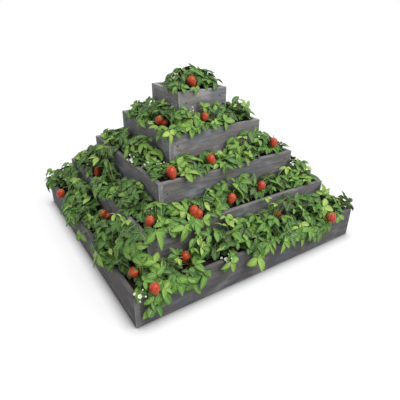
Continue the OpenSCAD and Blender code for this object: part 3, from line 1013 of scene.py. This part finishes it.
def stalk_route(tier, start, end):
    """A leaf stalk's curve from the crown, over the rim where it has to, up to the hub."""
    flat = (end - start) * (1, 1, 0)
    rise = np.array([0, 0, end[2] - start[2]])
    beyond = np.abs(end[:2]).max() > inner_half(tier) - clearance
    for lift in np.arange(0, 0.1, 0.008):
        up = np.array([0, 0, lift])
        route = curve(start, start + 0.15 * flat + 0.7 * rise + up,
                      start + (0.92 if beyond else 0.7) * flat + 1.08 * rise + 1.3 * up, end, steps=9)
        out = np.abs(route[:, :2]).max(1)
        on_board = (out > inner_half(tier) - clearance) & (out < outer_half(tier) + clearance)
        if (route[on_board, 2] > rim(tier) + clearance / 2).all():
            return route
    return route


def add_leaf(sheaf, tier, crown, leaf):
    """A leaf's stalk and its three leaflets."""
    start = crown + (leaf.hub - crown) * (0.08, 0.08, 0) + (0, 0, crown_height / 2)
    sheaf.tube(stalk_route(tier, start, leaf.hub), leaf_stalk)
    cells = [(leaf.tone, under_cells[leaf.tone % 3])] * 3
    sheaf.blades(np.array([leaf.hub] * 3), leaf.ways, leaf.ups, leaf.lengths, leaf.widths, leaf.bends,
                 leaf.folds, cells, leaflet_shape, rows=15, ripple=0.6 * mm)


def sepal_shape(s):
    return 0.25 + 1.5 * s ** 0.5 * (1 - s) ** 0.8, 0 * s


def add_sepals(sheaf, foot, axis, count, length, width, bend):
    """A ring of small pointed leaves, under a flower or on a fruit's shoulder."""
    turn = np.arange(count) / count * 2 * math.pi + dice.uniform(0, 1)
    first, second = square_to(axis)
    ways = np.cos(turn)[:, None] * first + np.sin(turn)[:, None] * second
    lengths = length * dice.uniform(0.85, 1.15, count)
    bends = bend * dice.uniform(0.7, 1.3, count)
    widths, folds = np.full(count, width), np.full(count, 0.2)
    sheaf.blades(foot + 0.1 * length * ways, ways, np.tile(axis, (count, 1)), lengths, widths,
                 bends, folds, [sepal_cells] * count, sepal_shape, rows=7)


def add_fruit_stalk(sheaf, tier, crown, berry):
    """A stalk that arches over from the crown down to a fruit, with the calyx at its end."""
    over = berry.top + berry.axis * 10 * mm
    rise = np.array([0, 0, max(over[2], rim(tier) + 10 * mm) - crown[2]])
    flat = (over - crown) * (1, 1, 0)
    end = berry.top - berry.axis * mm
    route = curve(crown, crown + 0.2 * flat + rise, over - 0.2 * flat + (0, 0, 12 * mm),
                  over + 0.1 * flat, end, steps=9)
    sheaf.tube(route, fruit_stalk, taper=0.9)
    # The sizes of a calyx are those on fruit of about 50 mm
    size = 0.95 * berry.length / 50
    add_sepals(sheaf, end, berry.axis, 10, 11 * size, 5 * size, 1.1)


def add_flower_stalks(sheaf, tier, crown, group):
    """A stalk that forks into one for each flower and bud of a cluster, with their sepals."""
    middle, axis = group[0].middle, group[0].axis
    fork = middle - axis * 18 * mm
    flat = (fork - crown) * (1, 1, 0)
    rise = np.array([0, 0, max(fork[2], rim(tier) + 8 * mm) - crown[2]])
    route = curve(crown, crown + 0.3 * flat + rise, fork - axis * 8 * mm, fork, steps=8)
    sheaf.tube(route, flower_stalk, taper=0.8)
    for flower in group:
        end = flower.middle - flower.axis * mm
        branch = curve(fork, fork + axis * 8 * mm, end - flower.axis * 7 * mm, end)
        sheaf.tube(branch, flower_branch, taper=0.8)
        foot = flower.middle - flower.axis * 1.2 * mm
        if flower.open:
            add_sepals(sheaf, foot, flower.axis, 5, 0.45 * flower.width, 0.22 * flower.width, 0.2)
        else:
            add_sepals(sheaf, foot, -flower.axis, 5, 0.75 * flower.width, 0.5 * flower.width, 1.5)


def home_crown(roots, place):
    """The number of the crown that a fruit or a flower hangs from."""
    return np.argmin(np.linalg.norm(roots - place, axis=1))


crown_bud = ball(4)
for tier in tiers:
    roots, grown = tier_leaves(tier)
    for number, (crown, leaves) in enumerate(zip(roots, grown)):
        sheaf = Sheaf()
        bud = crown_bud[0] * (crown_width / 2, crown_width / 2, 1.4 * crown_height) + crown
        bud_uv = np.tile(cell_corner(stalk_cell) + 0.02, (4 * len(crown_bud[1]), 1))
        sheaf.add(bud, crown_bud[1], bud_uv, 1)
        for leaf in leaves:
            add_leaf(sheaf, tier, crown, leaf)
        for berry in berries:
            if berry.tier == tier and home_crown(roots, berry.middle) == number:
                add_fruit_stalk(sheaf, tier, crown, berry)
        for home, group in clusters:
            if home == tier and home_crown(roots, group[0].middle) == number:
                add_flower_stalks(sheaf, tier, crown, group)
        piece = sheaf.piece(f"plant_{tier}_{number + 1}", [leaf_green, stalk_green])
        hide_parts(f"tier_{tier}_plants")

# Fruit
# Ripe berries hang from the stalks. Each is a blunt cone set all over with small yellow seeds, each
# in a dimple, and is glossy red, paler round the shoulder.
berry_gloss = {"Coat_Weight": 0.12, "Coat_Roughness": 0.2, "Specular_IOR_Level": 0.3}
berry_red, berry_shader, berry_nodes = material("berry_red", **berry_gloss)
blush = berry_nodes.atlas().cloud(7, 3)
red = blush.step(0.35, 0.7).mix(rgb(168, 42, 22), rgb(202, 86, 48))
berry_nodes.atlas().part(1).step(0.86, 1).mix(red, rgb(222, 142, 92)).feed(berry_shader, "Base Color")
(0.26 + 0.12 * blush).feed(berry_shader, "Roughness")
seed_yellow, seed_shader, seed_nodes = material("seed_yellow", Roughness=0.45)
seed_tint = seed_nodes.here().cloud(300)
seed_tint.step(0.35, 0.65).mix(rgb(222, 176, 84), rgb(196, 128, 54)).feed(seed_shader, "Base Color")

berry_ball, seed_ball = ball(20), ball(2)
seeds = 96
golden = math.pi * (3 - math.sqrt(5))
heights = 1 - 2 * (np.arange(seeds) + 0.5) / seeds * 0.96
seed_ways = np.stack([np.sqrt(1 - heights ** 2) * np.cos(golden * np.arange(seeds)),
                      np.sqrt(1 - heights ** 2) * np.sin(golden * np.arange(seeds)), heights], 1)
dimple_depth = 0.7 * mm
dimple_radius = 2.4 * mm
# One berry's faces' finishes and points' places in the atlas: the skin, then its seeds
berry_finish = np.repeat([0, 1], [len(berry_ball[1]), seeds * len(seed_ball[1])])
berry_flat = np.concatenate([berry_ball[0]] + [seed_ball[0]] * seeds)[:, [0, 2]] * 0.48 + 0.5


def on_berry(ways, berry):
    """Points on a berry's skin, in its own frame, for ways from its middle."""
    wide = berry.length * 0.68 * (0.54 + 0.1 * ways[:, 2:])
    return np.concatenate([ways[:, :2] * wide, ways[:, 2:] * 0.96 * berry.length / 2], 1)


def berry_parts(berry):
    """A berry's dimpled skin, a little uneven, and its seeds."""
    skin, pips = on_berry(berry_ball[0], berry), on_berry(seed_ways, berry)
    apart = np.linalg.norm(skin[:, None] - pips[None], axis=2).min(1)
    inward = unit(skin) * (dimple_depth * np.clip(1 - apart / dimple_radius, 0, 1))[:, None]
    turn = np.stack([*square_to(berry.axis), berry.axis])
    uneven = 1 + 0.03 * np.sin(berry_ball[0] * 3 + berry.middle * 40).sum(1, keepdims=True)
    parts = [((skin * uneven - inward) @ turn + berry.middle, berry_ball[1])]
    for pip in pips:
        out = unit(pip)
        down = unit(np.cross(np.cross(out, (0, 0, 1)), out))
        seed_size = np.stack([down * 1.1, np.cross(out, down) * 0.7, out * 0.45]) * mm
        seed = seed_ball[0] @ seed_size + pip - out * 0.35 * mm
        parts.append((seed @ turn + berry.middle, seed_ball[1]))
    return parts


for tier in tiers:
    fruit = [berry for berry in berries if berry.tier == tier]
    places, quads = join([part for berry in fruit for part in berry_parts(berry)])
    finish_of = np.tile(berry_finish, len(fruit))
    uv = np.tile(berry_flat, (len(fruit), 1))[quads]
    piece = new_piece(f"fruit_{tier}", places, quads, [berry_red, seed_yellow], finish_of, uv)
    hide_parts(f"tier_{tier}_fruit")

# Flowers
# Five round white petals, slightly cupped, round a green and yellow button of stamens. The buds are
# still closed, with only their white tips showing.
petal_white, petal_shader, petal_nodes = material("petal_white", Roughness=0.6)
down_petal = petal_nodes.maths("FRACT", petal_nodes.atlas().part(0) * 4)
down_petal.step(0, 0.35).mix(rgb(222, 226, 164), rgb(240, 240, 226)).feed(petal_shader, "Base Color")
button_yellow, button_shader, button_nodes = material("button_yellow", Roughness=0.7)
button_dots = button_nodes.here().cloud(900)
button_dots.step(0.4, 0.6).mix(rgb(236, 198, 60), rgb(196, 200, 84)).feed(button_shader, "Base Color")

button_ball = ball(5)
petals = 5
stamens = 14


def petal_shape(s):
    return 0.12 + 1.45 * s ** 0.7 * (1 - s) ** 0.35, 0 * s


def add_ball(sheaf, shape, size, turn, middle, finish):
    """A small ball, with all its faces at one place in the atlas."""
    uv = np.full((4 * len(shape[1]), 2), 0.2)
    sheaf.add((shape[0] * size) @ turn + middle, shape[1], uv, finish)


def add_flower(sheaf, flower):
    """A bud's white tip, or petals and a button, whose sizes are those in a flower 25 mm wide."""
    size, axis, middle = flower.width / 25, flower.axis, flower.middle
    first, second = square_to(axis)
    turn = np.stack([first, second, axis])
    if not flower.open:
        tip = np.array([0.42, 0.42, 0.6]) * flower.width
        add_ball(sheaf, button_ball, tip, turn, middle + axis * 0.3 * flower.width, 0)
        return
    angles = np.arange(petals) / petals * 2 * math.pi + dice.uniform(0, 1)
    ways = unit(np.cos(angles)[:, None] * first + np.sin(angles)[:, None] * second + 0.12 * axis)
    length, width, bend, fold = [np.full(petals, each) for each in (12.5 * size, 14 * size, -0.5, 0.12)]
    sheaf.blades(middle + ways * 1.5 * size, ways, np.tile(axis, (petals, 1)), length, width, bend, fold,
                 [(0, 0)] * petals, petal_shape, rows=9, thick=0.5 * mm)
    add_ball(sheaf, button_ball, np.array([3.6, 3.6, 2.4]) * size, turn, middle + axis * 0.8 * size, 1)
    for angle in np.arange(stamens) / stamens * 2 * math.pi:
        tip = np.cos(angle) * first + np.sin(angle) * second
        add_ball(sheaf, seed_ball, 0.7 * size, turn, middle + tip * 4.6 * size + axis * 2.6 * size, 1)


for tier in tiers:
    sheaf = Sheaf()
    for group in [group for home, group in clusters if home == tier]:
        for flower in group:
            add_flower(sheaf, flower)
    piece = sheaf.piece(f"flowers_{tier}", [petal_white, button_yellow])
    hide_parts(f"tier_{tier}_flowers")
